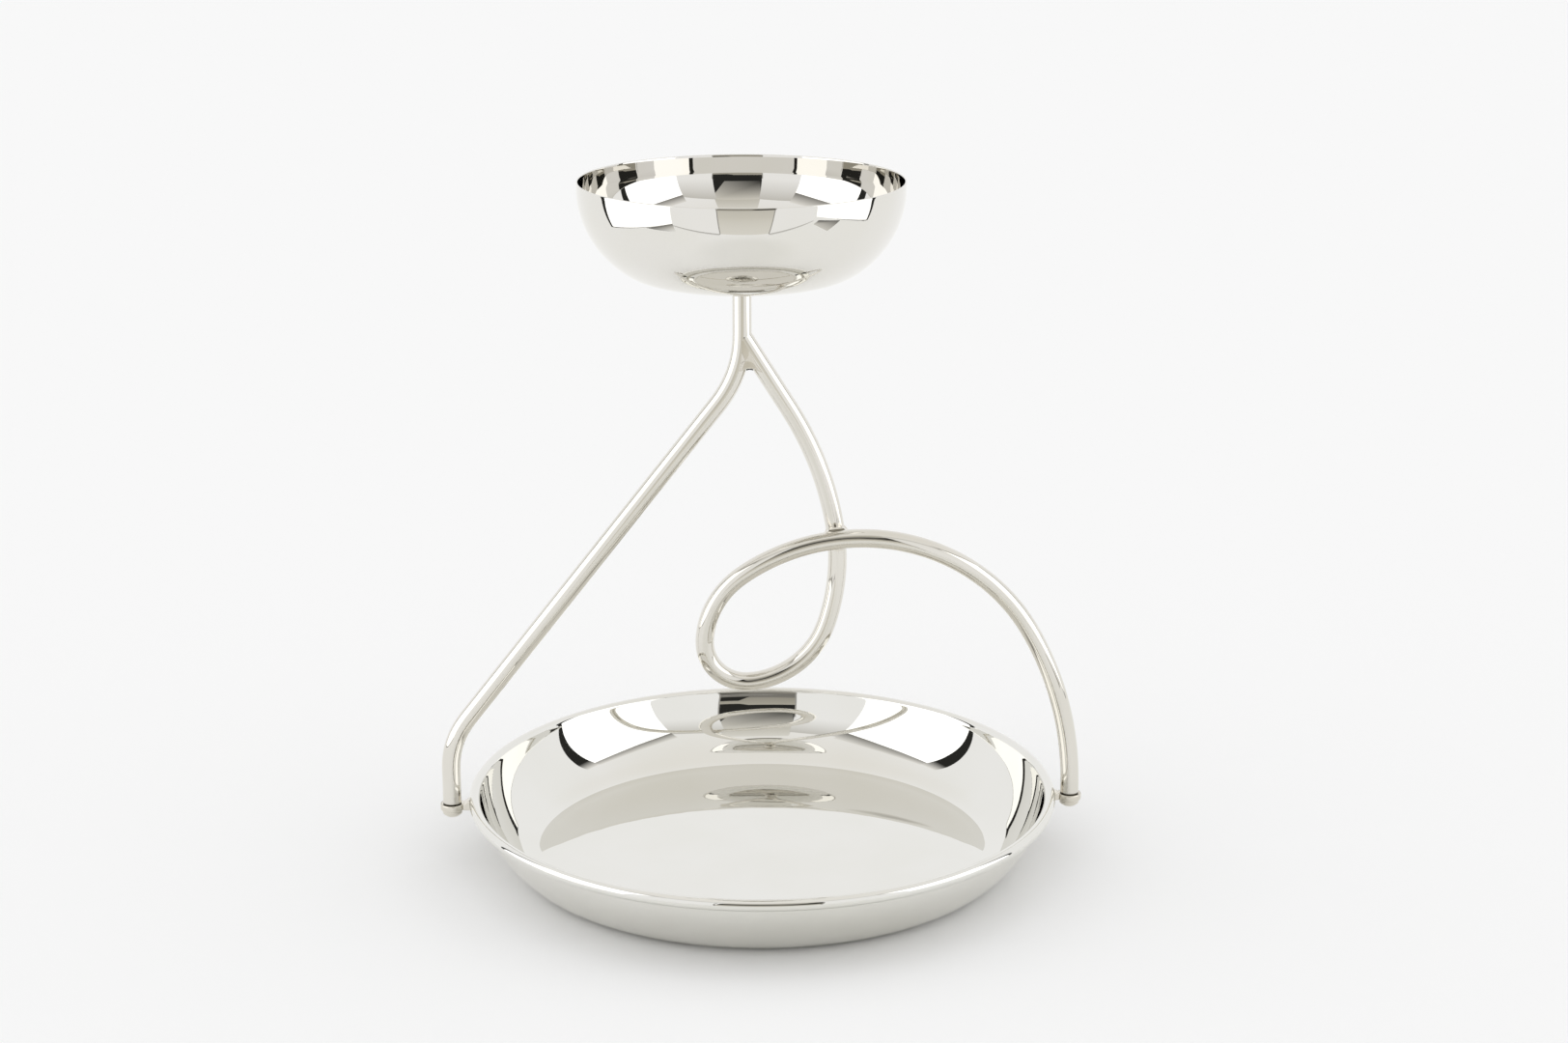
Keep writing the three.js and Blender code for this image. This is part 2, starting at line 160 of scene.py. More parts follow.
# Surfaces
def skin(name, points):
    """A closed mesh over a grid of points. Rows follow the profile, columns go round it and the last
    column joins the first. A row whose points fall together is a pole and becomes one vertex. The UV
    map holds metres along the profile and turns round it."""
    rows, columns = points.shape[:2]
    index = np.arange(rows * columns).reshape(rows, columns)
    pole = np.ptp(points, axis=1).max(axis=1) < SAME_PLACE
    index[pole] = index[pole][:, :1]
    beside = np.roll(index, -1, axis=1)
    quads = np.stack([index[:-1], beside[:-1], beside[1:], index[1:]], axis=-1).reshape(-1, 4)
    along = np.append(0, np.cumsum(np.linalg.norm(np.diff(points, axis=0), axis=2).max(axis=1)))
    turns = np.linspace(0, 1, columns + 1)
    u = np.stack([along[:-1], along[:-1], along[1:], along[1:]], axis=-1)
    v = np.stack([turns[:-1], turns[1:], turns[1:], turns[:-1]], axis=-1)
    uv = np.stack(np.broadcast_arrays(u[:, None], v[None]), axis=-1).reshape(-1, 4, 2)
    first, last = np.repeat(pole[:-1], columns), np.repeat(pole[1:], columns)
    kinds = [(~first & ~last, [0, 1, 2, 3]), (first, [0, 2, 3]), (last, [0, 1, 2])]
    corners = np.concatenate([quads[kind][:, keep].ravel() for kind, keep in kinds])
    sizes = np.concatenate([np.full(kind.sum(), len(keep)) for kind, keep in kinds])
    corner_uv = np.concatenate([uv[kind][:, keep].ravel() for kind, keep in kinds])
    used, corners = np.unique(corners, return_inverse=True)
    mesh = bpy.data.meshes.new(name)
    mesh.vertices.add(len(used))
    mesh.vertices.foreach_set("co", points.reshape(-1, 3)[used].ravel())
    mesh.loops.add(len(corners))
    mesh.loops.foreach_set("vertex_index", corners)
    mesh.polygons.add(len(sizes))
    mesh.polygons.foreach_set("loop_start", np.append(0, np.cumsum(sizes)[:-1]))
    mesh.uv_layers.new(name="along_and_round").data.foreach_set("uv", corner_uv)
    mesh.update(calc_edges=True)
    mesh.polygons.foreach_set("use_smooth", np.ones(len(sizes), bool))
    mesh.set_sharp_from_angle(angle=SHARP_ANGLE)
    piece = bpy.data.objects.new(name, mesh)
    bpy.context.scene.collection.objects.link(piece)
    return piece


def arc(r, z, radius, start, end, steps):
    """Points on a circle's arc, ends included: the centre plus radius times cosine and sine of an
    even run of angles."""
    turn = np.linspace(start, end, steps + 1)
    return np.stack([r + radius * np.cos(turn), z + radius * np.sin(turn)], axis=1)


def turned(name, profile, facets, x=0.0, z=0.0):
    """A profile of radius and height turned about an upright axis: radius times cosine and sine of
    the angle, and the height."""
    angle = np.linspace(0, 2 * math.pi, facets, endpoint=False)
    r, height = profile[:, :1], profile[:, 1:]
    points = np.stack([x + r * np.cos(angle), r * np.sin(angle), z + height + 0 * angle], axis=-1)
    return skin(name, points)


# Dish
def dish_face(out):
    """The wall's outer face moved outwards by out: the foot corner's arc, then the wall's arc on one
    tangent with it, up to where the wall enters the rolled rim."""
    roll_inside = RIM_RADIUS - DISH_SHEET
    wall_r = RIM_CENTRE_R - (roll_inside + WALL_RADIUS) * math.sin(WALL_SLOPE)
    wall_z = RIM_CENTRE_Z + (roll_inside + WALL_RADIUS) * math.cos(WALL_SLOPE)
    reach = WALL_RADIUS - FOOT_CORNER_RADIUS
    rise = wall_z - FOOT_CORNER_RADIUS
    corner_r = wall_r + math.sqrt(reach ** 2 - rise ** 2)
    join = math.atan2(FOOT_CORNER_RADIUS - wall_z, corner_r - wall_r)
    corner = arc(corner_r, FOOT_CORNER_RADIUS, FOOT_CORNER_RADIUS + out, -QUARTER, join,
                 WALL_STEPS)
    wall = arc(wall_r, wall_z, WALL_RADIUS + out, join, WALL_SLOPE - QUARTER, WALL_STEPS)
    return np.vstack([corner, wall[1:]])


def spun_dish():
    """The sheet's profile from the axis: outer face, inside of the rim's roll, round its free edge
    and back over the roll's outside, inner face, axis. It is turned about the dish's axis."""
    roll_start = WALL_SLOPE + QUARTER
    reach = math.acos((RIM_MOUTH + DISH_SHEET - RIM_RADIUS) / RIM_RADIUS)
    roll_end = WALL_SLOPE - QUARTER - reach
    roll_inner = arc(RIM_CENTRE_R, RIM_CENTRE_Z, RIM_RADIUS - DISH_SHEET, roll_start, roll_end,
                     ROLL_INNER_STEPS)
    roll_outer = arc(RIM_CENTRE_R, RIM_CENTRE_Z, RIM_RADIUS, roll_end, roll_start,
                     ROLL_OUTER_STEPS)
    floor_rings = np.linspace(0, 1, DISH_FLOOR_POINTS)[:, None]
    outer, inner = dish_face(0), dish_face(-DISH_SHEET)[::-1]
    underside = floor_rings[:-1] * outer[0]
    floor = inner[-1] * (1 - floor_rings[1:])
    floor[:, 1] = DISH_SHEET
    profile = np.vstack([underside, outer[:-1], roll_inner, roll_outer, inner[1:], floor])
    return turned("dish", profile, DISH_FACETS)


# Bowl
def bowl_face(out, drop=0.0):
    """The bowl's outer face moved outwards by out, heights from the rim: the side's arc from a drop
    below the rim, then the tighter corner's arc down to the flat base."""
    side_radius = BOWL_DEPTH - BOWL_CORNER_RADIUS * (1 - math.sin(BOWL_SIDE_TURN))
    side_radius /= math.sin(BOWL_SIDE_TURN) + math.sin(BOWL_TUCK)
    side_r = BOWL_RADIUS - side_radius * math.cos(BOWL_TUCK)
    side_z = -side_radius * math.sin(BOWL_TUCK)
    shift = side_radius - BOWL_CORNER_RADIUS
    corner_r = side_r + shift * math.cos(BOWL_SIDE_TURN)
    corner_z = side_z - shift * math.sin(BOWL_SIDE_TURN)
    top = -math.asin((drop + side_z) / (side_radius + out)) if drop else BOWL_TUCK
    side = arc(side_r, side_z, side_radius + out, top, -BOWL_SIDE_TURN, BOWL_SIDE_STEPS)
    corner = arc(corner_r, corner_z, BOWL_CORNER_RADIUS + out, -BOWL_SIDE_TURN, -QUARTER,
                 BOWL_CORNER_STEPS)
    return np.vstack([side, corner[1:]])


def spun_bowl(x, z):
    """The sheet's profile from the axis under the base, up the outer face, over the rounded lip and
    down the inner face, turned about the stem's axis. The inner face is straight near the lip and
    opens a little, which thins the lip. x and z are the place of the base."""
    outer, inner = bowl_face(0)[::-1], bowl_face(-BOWL_SHEET, LIP_DEPTH)
    lip_inside = inner[0, 0] - inner[0, 1] * math.tan(LIP_FLARE)
    lip_half = (BOWL_RADIUS - lip_inside) / 2
    lip_centre = np.array([lip_inside + lip_half, -lip_half])
    lip = arc(*lip_centre, lip_half, 0, math.pi, LIP_STEPS)
    opening = np.linspace(lip[-1], inner[0], OPENING_POINTS)[1:-1]
    base_rings = np.linspace(0, 1, BOWL_FLOOR_POINTS)[:, None]
    underside = base_rings[:-1] * [outer[0][0], 0] - [0, BOWL_DEPTH]
    floor = inner[-1] * [1, 0] * (1 - base_rings[1:]) - [0, BOWL_DEPTH - BOWL_SHEET]
    below_lip = outer[:, 1] < lip_centre[1]
    profile = np.vstack([underside, outer[below_lip], lip, opening, inner, floor])
    return turned("bowl", profile, BOWL_FACETS, x, z + BOWL_DEPTH)


# Rods
def bent(start, moves):
    """Centreline of a rod bent in the XZ plane, heading up at first. Each move is a length and the
    turn along it, towards -X. The heading is the sum of the turns up to each length, evened out over
    the ease of a bend, and the place is the running sum of its cosine and sine. What the easing moves
    the far end by is taken off in proportion to the length."""
    lengths, turns = np.array(moves).T
    stops, turned_by = np.append(0, np.cumsum(lengths)), np.append(0, np.cumsum(turns))
    count = round(stops[-1] / PATH_STEP)
    length = np.linspace(0, stops[-1], count + 1)
    spread = np.linspace(-BEND_EASE / 2, BEND_EASE / 2, EASE_POINTS)

    def places(heading):
        mean = (heading[1:] + heading[:-1]) / 2
        x = start[0] + np.append(0, np.cumsum(np.cos(mean))) * length[1]
        z = start[1] + np.append(0, np.cumsum(np.sin(mean))) * length[1]
        return np.stack([x, z], axis=1)

    sharp = QUARTER + np.interp(length, stops, turned_by)
    eased = QUARTER + np.interp(length[:, None] + spread, stops, turned_by).mean(axis=1)
    flat = places(eased)
    drift = places(sharp)[-1] - flat[-1]
    return flat + drift * (length / length[-1])[:, None], length


def loop_path():
    """The looped rod's centreline. Seen from the front it crosses itself once. Its offset from the
    handle's plane eases along a cosine from nothing at the foot to one rod in front at the first
    pass, to one rod behind at the second and back to nothing at the fork."""
    bends = [(radius * turn, turn) for radius, turn in LOOP_BENDS]
    flat, length = bent((FOOT_X, SEAT_Z), [(LOOP_FOOT, 0), *bends, (STRAND_LENGTH, 0)])
    low = len(flat) // 2
    apart = np.linalg.norm(flat[:low, None] - flat[None, low:], axis=2)
    front, back = np.unravel_index(apart.argmin(), apart.shape)
    stops = np.array([0, length[front], length[low + back], length[-1]])
    offset = (ROD_RADIUS + CROSSING_GAP / 2) * np.array([0, -1, 1, 0])
    part = np.searchsorted(stops[1:-1], length)
    phase = math.pi * (length - stops[part]) / (stops[part + 1] - stops[part])
    y = offset[part] + (offset[part + 1] - offset[part]) * (1 - np.cos(phase)) / 2
    return np.stack([flat[:, 0], y, flat[:, 1]], axis=1), flat[front]


def leg_path(fork):
    """The leg's centreline: straight up from its foot, over to the stem's axis and up to the bowl."""
    stem_corner = fork[2] - STEM_CORNER_DROP
    across, up = fork[0] + FOOT_X, stem_corner - LEG_CORNER_HEIGHT
    lean = math.atan2(across, up)
    foot_tangent = LEG_FOOT_BEND * math.tan(lean / 2)
    stem_tangent = LEG_STEM_BEND * math.tan(lean / 2)
    flat, _ = bent((-FOOT_X, SEAT_Z), [
        (LEG_CORNER_HEIGHT - foot_tangent - SEAT_Z, 0),
        (LEG_FOOT_BEND * lean, -lean),
        (math.hypot(across, up) - foot_tangent - stem_tangent, 0),
        (LEG_STEM_BEND * lean, lean),
        (fork[2] + STEM_LENGTH - stem_corner - stem_tangent, 0),
    ])
    return np.stack([flat[:, 0], 0 * flat[:, 0], flat[:, 1]], axis=1)


def rod(name, path):
    """A round section carried along a path. Its rows start at the end of the screw's bore, come down
    the bore's wall, cross the foot's end and follow the path to the far end, which is closed. The
    section lies square to the path, on one axis near Y and one in the handle's plane."""
    tangent = np.gradient(path, axis=0)
    tangent /= np.linalg.norm(tangent, axis=1)[:, None]
    bore_end = path[0] + [0, 0, BORE_DEPTH]
    edge = arc(ROD_RADIUS - ROD_EDGE, ROD_EDGE, ROD_EDGE, -QUARTER, 0, EDGE_STEPS)
    foot = path[0] + np.array([[0, 0, 1]]) * edge[:, 1:]
    after = path[:, 2] > path[0, 2] + ROD_EDGE
    after |= np.arange(len(path)) > len(path) // 2
    head = path[-1] - tangent[-1] * edge[::-1, 1:]
    body = path[after][:-2]
    centres = np.vstack([bore_end, bore_end, path[0], foot, body, head, path[-1]])
    ups = np.vstack([np.tile(tangent[0], (3 + len(foot), 1)), tangent[after][:-2],
                     np.tile(tangent[-1], (len(head) + 1, 1))])
    radii = np.concatenate([[0, BORE_RADIUS, BORE_RADIUS], edge[:, 0],
                            np.full(len(body), ROD_RADIUS), edge[::-1, 0], [0]])
    side = np.array([0, 1, 0]) - ups[:, 1:2] * ups
    side /= np.linalg.norm(side, axis=1)[:, None]
    front = np.cross(side, ups)
    angle = np.linspace(0, 2 * math.pi, ROD_FACETS, endpoint=False)[None, :, None]
    ring = front[:, None] * np.cos(angle) + side[:, None] * np.sin(angle)
    return skin(name, centres[:, None] + radii[:, None, None] * ring)


# Fittings
def lug(name, side):
    """A plate on a grid of rays from the eye's centre to the plan's outline: underside, rounded edge,
    side, rounded edge and top. The top rises along the neck as a quarter of a parabola, and the neck
    ends just inside the dish's wall and under the rolled rim."""
    wall = dish_face(0)
    neck = math.asin(NECK_EYE_WIDTH / 2 / LUG_EYE_RADIUS)
    eye = arc(0, 0, LUG_EYE_RADIUS, neck, 2 * math.pi - neck, EYE_STEPS)
    reach = FOOT_X - RIM_CENTRE_R + RIM_RADIUS
    run = np.linspace(0, 1, NECK_POINTS)[:, None]
    corner = np.array([[reach, -NECK_WIDTH / 2], [reach, NECK_WIDTH / 2]])
    outline = np.vstack([eye, eye[-1] + run[1:] * (corner[0] - eye[-1]),
                         corner[0] + run[1::4] * (corner[1] - corner[0]),
                         corner[1] + run[1:-1] * (eye[0] - corner[1])])
    shrink = np.linspace(0, 1, LUG_RING_POINTS)
    edge = arc(-LUG_EDGE, LUG_EDGE, LUG_EDGE, -QUARTER, 0, EDGE_STEPS)
    inward = outline / np.linalg.norm(outline, axis=1)[:, None]
    flat = [outline * s for s in shrink[:-1]]
    rounds = [outline + inward * e for e in edge[:, 0]]
    plan = np.array(flat + rounds + rounds[::-1] + flat[::-1])
    slope = np.clip((plan[..., 0] - ROD_RADIUS - NECK_START) / NECK_SLOPE_RUN, 0, 1)
    top = NECK_RISE * (1 - np.sqrt(1 - slope))
    level = np.zeros(len(flat))
    lift = np.concatenate([level, edge[:, 1], -edge[::-1, 1], level])[:, None]
    below = np.arange(len(plan))[:, None] < len(flat) + len(rounds)
    height = SEAT_Z + np.where(below, -LUG_THICKNESS, top) + lift
    out = FOOT_X - plan[..., 0]
    hang = np.sqrt(np.clip(RIM_RADIUS ** 2 - (out - RIM_CENTRE_R) ** 2, 0, None))
    under_roll = np.where(hang > 0, RIM_CENTRE_Z - hang + SOLDER_BITE, height)
    height = np.minimum(height, under_roll)
    out = np.maximum(out, np.interp(height, wall[:, 1], wall[:, 0]) - SOLDER_BITE)
    return skin(name, np.stack([side * out, -side * plan[..., 1], height], axis=-1))


def screw(name, side):
    """Domed head, cheese side and plain shank with a chamfered tip, turned about the rod's axis."""
    head_top = SEAT_Z - LUG_THICKNESS
    head_bottom = head_top - SCREW_HEAD_SIDE - SCREW_DOME
    dome_radius = (SCREW_HEAD_RADIUS ** 2 + SCREW_DOME ** 2) / (2 * SCREW_DOME)
    dome_turn = math.asin(SCREW_HEAD_RADIUS / dome_radius)
    dome = arc(0, head_bottom + dome_radius, dome_radius, -QUARTER, dome_turn - QUARTER,
               DOME_STEPS)
    dome[0, 0] = 0
    tip = SEAT_Z + SHANK_LENGTH
    rest = np.array([
        [SCREW_HEAD_RADIUS, head_top - LUG_EDGE / 2],
        [SCREW_HEAD_RADIUS - LUG_EDGE / 2, head_top],
        [SHANK_RADIUS, head_top],
        [SHANK_RADIUS, tip - SHANK_TIP],
        [SHANK_RADIUS - SHANK_TIP, tip],
        [0, tip],
    ])
    return turned(name, np.vstack([dome, rest]), FITTING_FACETS, side * FOOT_X)


# Solder
def fork_web(leg, strand):
    """Solder between the two rods under the fork. At each height the front is an arc that a ball
    would leave rolling in the groove, tangent to both rods, and the back is its mirror image. The
    lower edge arches up and is rounded."""
    fork = strand[-1]
    stretch = np.linspace(0, 1, WEB_ROWS)
    low, high = fork[2] - WEB_DROP, fork[2] - WEB_TOP_DROP
    heights = low + (high - low) * stretch
    rising = leg[:, 2] > low - WEB_DROP
    left = np.interp(heights, leg[rising, 2], leg[rising, 0])
    last = strand[-round(2 * WEB_DROP / PATH_STEP):]
    right = np.interp(heights, last[:, 2], last[:, 0])
    lean_left = np.gradient(left, heights)
    lean_right = np.gradient(right, heights)
    left += ROD_RADIUS * (np.sqrt(1 + lean_left ** 2) - 1)
    right -= ROD_RADIUS * (np.sqrt(1 + lean_right ** 2) - 1)
    half = (right - left) / 2
    sunk = np.clip(1 - (half / ROD_RADIUS) ** 2, 0, None)
    waist = np.sqrt(WEB_HALF ** 2 + (ROD_RADIUS ** 2 - WEB_HALF ** 2) * sunk)
    ball = (half ** 2 + waist ** 2 - ROD_RADIUS ** 2) / (2 * (ROD_RADIUS - waist))
    reach = np.arcsin(half / (ROD_RADIUS + ball)) + SOLDER_BITE / ball
    share = np.linspace(-1, 1, WEB_COLUMNS)
    angle = reach[:, None] * share
    x = (left + right)[:, None] / 2 + ball[:, None] * np.sin(angle)
    y = (waist + ball)[:, None] - ball[:, None] * np.cos(angle)
    z = heights[:, None] + WEB_ARCH * (1 - share ** 2) * (1 - stretch[:, None])
    front = np.stack([x, -y, z], axis=-1)
    back = np.stack([x, y, z], axis=-1)[:, ::-1]
    sides = np.concatenate([front, back], axis=1)
    curl = np.linspace(0, QUARTER, WEB_ROUND_POINTS)[:-1, None]
    edge = np.stack([sides[0, :, 0] + 0 * curl, sides[0, :, 1] * np.sin(curl),
                     sides[0, :, 2] - WEB_ROUND * np.cos(curl)], axis=-1)
    middle = edge[0].mean(axis=0)
    lid = sides[-1].mean(axis=0)
    start = np.tile(middle, (1, edge.shape[1], 1))
    end = np.tile(lid, (1, edge.shape[1], 1))
    return skin("fork_fillet", np.concatenate([start, edge, sides, end]))


def crossing_fillet(x, z):
    """Solder in the corners where the loop's passes touch: a waisted spool about Y, its radius the
    waist plus a share of the flare, the square of the distance from the handle's plane."""
    share = np.linspace(-1, 1, CROSSING_ROWS)
    depth = CROSSING_DEPTH * share
    radius = CROSSING_WAIST + CROSSING_FLARE * share ** 2
    profile = np.vstack([[0, depth[0]], np.stack([radius, depth], axis=1), [0, depth[-1]]])
    angle = np.linspace(0, 2 * math.pi, ROD_FACETS, endpoint=False)
    r, y = profile[:, :1], profile[:, 1:]
    points = np.stack([x + r * np.sin(angle), y + 0 * angle, z + r * np.cos(angle)], axis=-1)
    return skin("crossing_fillet", points)


def bowl_fillet(x, z):
    """Solder ring round the stem's top: a quarter of an ellipse from the stem out to the base."""
    spread = BOWL_SOLDER_RADIUS - ROD_RADIUS
    turn = np.linspace(0, QUARTER, RING_POINTS)
    hollow = np.stack([BOWL_SOLDER_RADIUS - spread * np.cos(turn),
                       -BOWL_SOLDER_DROP + (BOWL_SOLDER_DROP - SOLDER_LIP) * np.sin(turn)], axis=1)
    hollow[0, 0] -= SOLDER_BITE
    core = np.array([[ROD_RADIUS / 2, -BOWL_SOLDER_DROP]])
    lip = np.array([[BOWL_SOLDER_RADIUS, 0], [ROD_RADIUS / 2, 0]])
    profile = np.vstack([core, hollow, lip, core])
    return turned("bowl_fillet", profile, FITTING_FACETS, x, z)


loop, crossing = loop_path()
leg = leg_path(loop[-1])
stem_top = leg[-1]

dish = spun_dish()
bowl = spun_bowl(stem_top[0], stem_top[2])
loop_rod = rod("looped_rod", loop)
leg_rod = rod("leg_and_stem", leg)
fork_fillet = fork_web(leg, loop)
crossing_solder = crossing_fillet(*crossing)
bowl_solder = bowl_fillet(stem_top[0], stem_top[2])
left_lug, right_lug = lug("left_lug", -1), lug("right_lug", 1)
left_screw, right_screw = screw("left_screw", -1), screw("right_screw", 1)


# Materials
def linear(colour):
    """An sRGB hex colour as linear red, green, blue and alpha."""
    parts = np.array([int(colour[i:i + 2], 16) for i in (1, 3, 5)]) / 255
    parts = np.where(parts > 0.04045, ((parts + 0.055) / 1.055) ** 2.4, parts / 12.92)
    return (*parts.tolist(), 1.0)


def node(tree, kind, settings=None, **links):
    """A shader node of a kind with its settings. A link's name is its input's label in small letters,
    or a letter and the input's number, and its value is a socket or a number."""
    made = tree.nodes.new("ShaderNode" + kind)
    for name, value in (settings or {}).items():
        setattr(made, name, value)
    labels = {socket.name.lower().replace(" ", "_"): socket for socket in reversed(made.inputs)}
    for name, value in links.items():
        target = made.inputs[int(name[1:])] if name[1:].isdigit() else labels[name]
        if isinstance(value, bpy.types.NodeSocket):
            tree.links.new(value, target)
        else:
            target.default_value = value
    return made


# How coarse a finish is drawn: noise cells round a turn and in each metre along the profile, or in
# each metre of space. Real buffing lines are about 0.05 mm apart, too fine to show, so they are
# drawn 1 to 4 mm apart and a few thousandths of a millimetre deep. PATCHES of tint and RIPPLES are
# the noise cells in each metre of space.
PATCHES = 25
RIPPLES = 65
PATCH_SPAN = (0.35, 0.65)
MARK_SPAN = (0.3, 0.7)
# Dark colour painted in the groove at a rod's foot: painted shade where the rod meets its lug
GROOVE_SHADE = "#57534b"
FOOT_EDGE = BORE_DEPTH + ROD_RADIUS - ROD_EDGE + QUARTER * ROD_EDGE
FOOT_GROOVE = 0.4 * MM


def silver(name, colours, roughness, cells, depth, ripple, wrapped=True, groove=None):
    """Silver plate. Its marks change the roughness and stand out by depth, over a slow ripple of the
    sheet. Wrapped, the marks are read at the cosine and sine of the turn and the length along the
    profile, so they have no seam. A groove is two lengths along the profile: up to the first the
    silver is painted dark, a painted shade in the groove, and at the second it has its own colour."""
    material = bpy.data.materials.new(name)
    material.use_nodes = True
    tree = material.node_tree
    shader = tree.nodes["Principled BSDF"]
    shader.inputs["Metallic"].default_value = 1.0
    places = node(tree, "TexCoord")
    if wrapped:
        parts = node(tree, "SeparateXYZ", vector=places.outputs["UV"])
        turn = node(tree, "Math", {"operation": "MULTIPLY"}, i0=parts.outputs["Y"], i1=2 * math.pi)
        across = node(tree, "Math", {"operation": "COSINE"}, i0=turn.outputs["Value"])
        beside = node(tree, "Math", {"operation": "SINE"}, i0=turn.outputs["Value"])
        place = node(tree, "CombineXYZ", x=across.outputs["Value"], y=beside.outputs["Value"],
                     z=parts.outputs["X"]).outputs["Vector"]
    else:
        place = places.outputs["Object"]
    sized = node(tree, "Mapping", vector=place, scale=cells)
    marks = node(tree, "TexNoise", vector=sized.outputs["Vector"], scale=1.0, detail=3.0)
    patches = node(tree, "TexNoise", vector=places.outputs["Object"], scale=PATCHES, detail=2.0)
    tint = node(tree, "MapRange", value=patches.outputs[0], from_min=PATCH_SPAN[0],
                from_max=PATCH_SPAN[1])
    colour = node(tree, "MixRGB", fac=tint.outputs["Result"], color1=linear(colours[0]),
                  color2=linear(colours[1]))
    # Painted shade in the groove
    if groove:
        unshaded = node(tree, "MapRange", value=parts.outputs["X"], from_min=groove[0],
                     from_max=groove[1])
        colour = node(tree, "MixRGB", fac=unshaded.outputs["Result"], color1=linear(GROOVE_SHADE),
                      color2=colour.outputs["Color"])
    haze = node(tree, "MapRange", value=marks.outputs[0], from_min=MARK_SPAN[0],
                from_max=MARK_SPAN[1], to_min=roughness[0], to_max=roughness[1])
    bends = node(tree, "TexNoise", vector=places.outputs["Object"], scale=RIPPLES, detail=1.0)
    sway = node(tree, "Bump", strength=1.0, distance=ripple, height=bends.outputs[0])
    waves = node(tree, "Bump", strength=1.0, distance=depth, height=marks.outputs[0],
                 normal=sway.outputs["Normal"])
    tree.links.new(colour.outputs["Color"], shader.inputs["Base Color"])
    tree.links.new(haze.outputs["Result"], shader.inputs["Roughness"])
    tree.links.new(waves.outputs["Normal"], shader.inputs["Normal"])
    return material


# Silver plate on spun sheet, buffed to a mirror on the lathe: faint rings, hardly any haze. The
# wide dish ripples a little more than the small bowl.
dish_silver = silver("mirror_polished_silver_dish", ("#e7e6e2", "#e5e4df"), (0.008, 0.03),
                     (0.7, 0.7, 250), 0.0015 * MM, 0.02 * MM)
bowl_silver = silver("mirror_polished_silver_bowl", ("#e5e3df", "#e3e1db"), (0.008, 0.03),
                     (0.7, 0.7, 250), 0.0015 * MM, 0.012 * MM)
# Silver plate on drawn rod, polished along its length: long faint streaks in the highlights, and a
# painted shade, a dark line in the groove between the foot and its lug
rod_silver = silver("polished_silver_plated_rod", ("#e2dfd8", "#dddad2"), (0.015, 0.045),
                    (3.5, 3.5, 22), 0.008 * MM, 0.03 * MM,
                    groove=(FOOT_EDGE, FOOT_EDGE + FOOT_GROOVE))
# Silver plate on filed and buffed brass fittings: softer edges to the reflections
fitting_silver = silver("polished_silver_plated_fitting", ("#e2ded5", "#d9d4c9"), (0.02, 0.06),
                        (450, 450, 450), 0.004 * MM, 0.03 * MM, wrapped=False)
# Silver solder buffed by hand: a little greyer and wavier than the plate beside it
solder_silver = silver("buffed_silver_solder", ("#dedad1", "#d3cec3"), (0.05, 0.1),
                       (380, 380, 380), 0.004 * MM, 0.025 * MM, wrapped=False)
# Drawn steel wire inside the rolled rim, hardly to be seen: dull grey
wire_steel = silver("drawn_steel_wire", ("#8c8c8c", "#7d7b78"), (0.35, 0.5),
                    (600, 600, 600), 0.004 * MM, 0.02 * MM, wrapped=False)

PIECES = [
    (dish, "lower_dish", "plated_sheet", dish_silver),
    (bowl, "upper_bowl", "plated_sheet", bowl_silver),
    (loop_rod, "loop_rod", "plated_rod", rod_silver),
    (leg_rod, "leg_rod", "plated_rod", rod_silver),
    (fork_fillet, "fork_solder", "silver_solder", solder_silver),
    (crossing_solder, "crossing_solder", "silver_solder", solder_silver),
    (bowl_solder, "bowl_solder", "silver_solder", solder_silver),
    (left_lug, "lug_left", "plated_fitting", fitting_silver),
    (right_lug, "lug_right", "plated_fitting", fitting_silver),
    (left_screw, "screw_left", "plated_fitting", fitting_silver),
    (right_screw, "screw_right", "plated_fitting", fitting_silver),
]
for piece, solid, slot, material in PIECES:
    piece.data.materials.append(material)
    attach(piece, "root")
    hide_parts(solid)
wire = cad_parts["rim_wire"]
wire.data.materials.clear()
wire.data.materials.append(wire_steel)


# Camera, from the photograph's perspective
CAMERA_PLACE = (-43.96 * MM, -1154.4 * MM, 486.48 * MM)
CAMERA_DOWN = math.radians(16.218)
CAMERA_TURN = math.radians(-2.65)
SENSOR_WIDTH = 36.0
FOCAL_PIXELS = 2941.8
IMAGE_WIDTH = 1624

camera = bpy.data.objects.new("camera", bpy.data.cameras.new("camera"))
bpy.context.scene.collection.objects.link(camera)
camera.location = CAMERA_PLACE
camera.rotation_euler = (QUARTER - CAMERA_DOWN, 0, CAMERA_TURN)
camera.data.sensor_width = SENSOR_WIDTH
camera.data.lens = SENSOR_WIDTH * FOCAL_PIXELS / IMAGE_WIDTH
bpy.context.scene.camera = camera


# Stage. The cards are seen only by the metal. Heights and distances are those of a table-top
# studio with a softbox on each side and an opening in front.
def card(name, corners, colours):
    """A four-cornered card of the studio that glows in the colours of its corners."""
    mesh = bpy.data.meshes.new(name)
    mesh.from_pydata(corners, [], [(0, 1, 2, 3)])
    glow = mesh.color_attributes.new("glow", "FLOAT_COLOR", "POINT")
    glow.data.foreach_set("color", np.array(colours, dtype=float).ravel())
    made = bpy.data.objects.new(name, mesh)
    bpy.context.scene.collection.objects.link(made)
    mesh.materials.append(card_glow)
    made.visible_camera = False
    made.visible_shadow = False
    made.visible_diffuse = False


def upright(name, start, end, z, low, high, high_ends=None):
    """An upright card over the line between two points of the plan, from one height to another. Its
    top may run between two other points."""
    high_start, high_end = high_ends or (start, end)
    corners = [(*start, z[0]), (*end, z[0]), (*high_end, z[1]), (*high_start, z[1])]
    card(name, corners, [low, low, high, high])


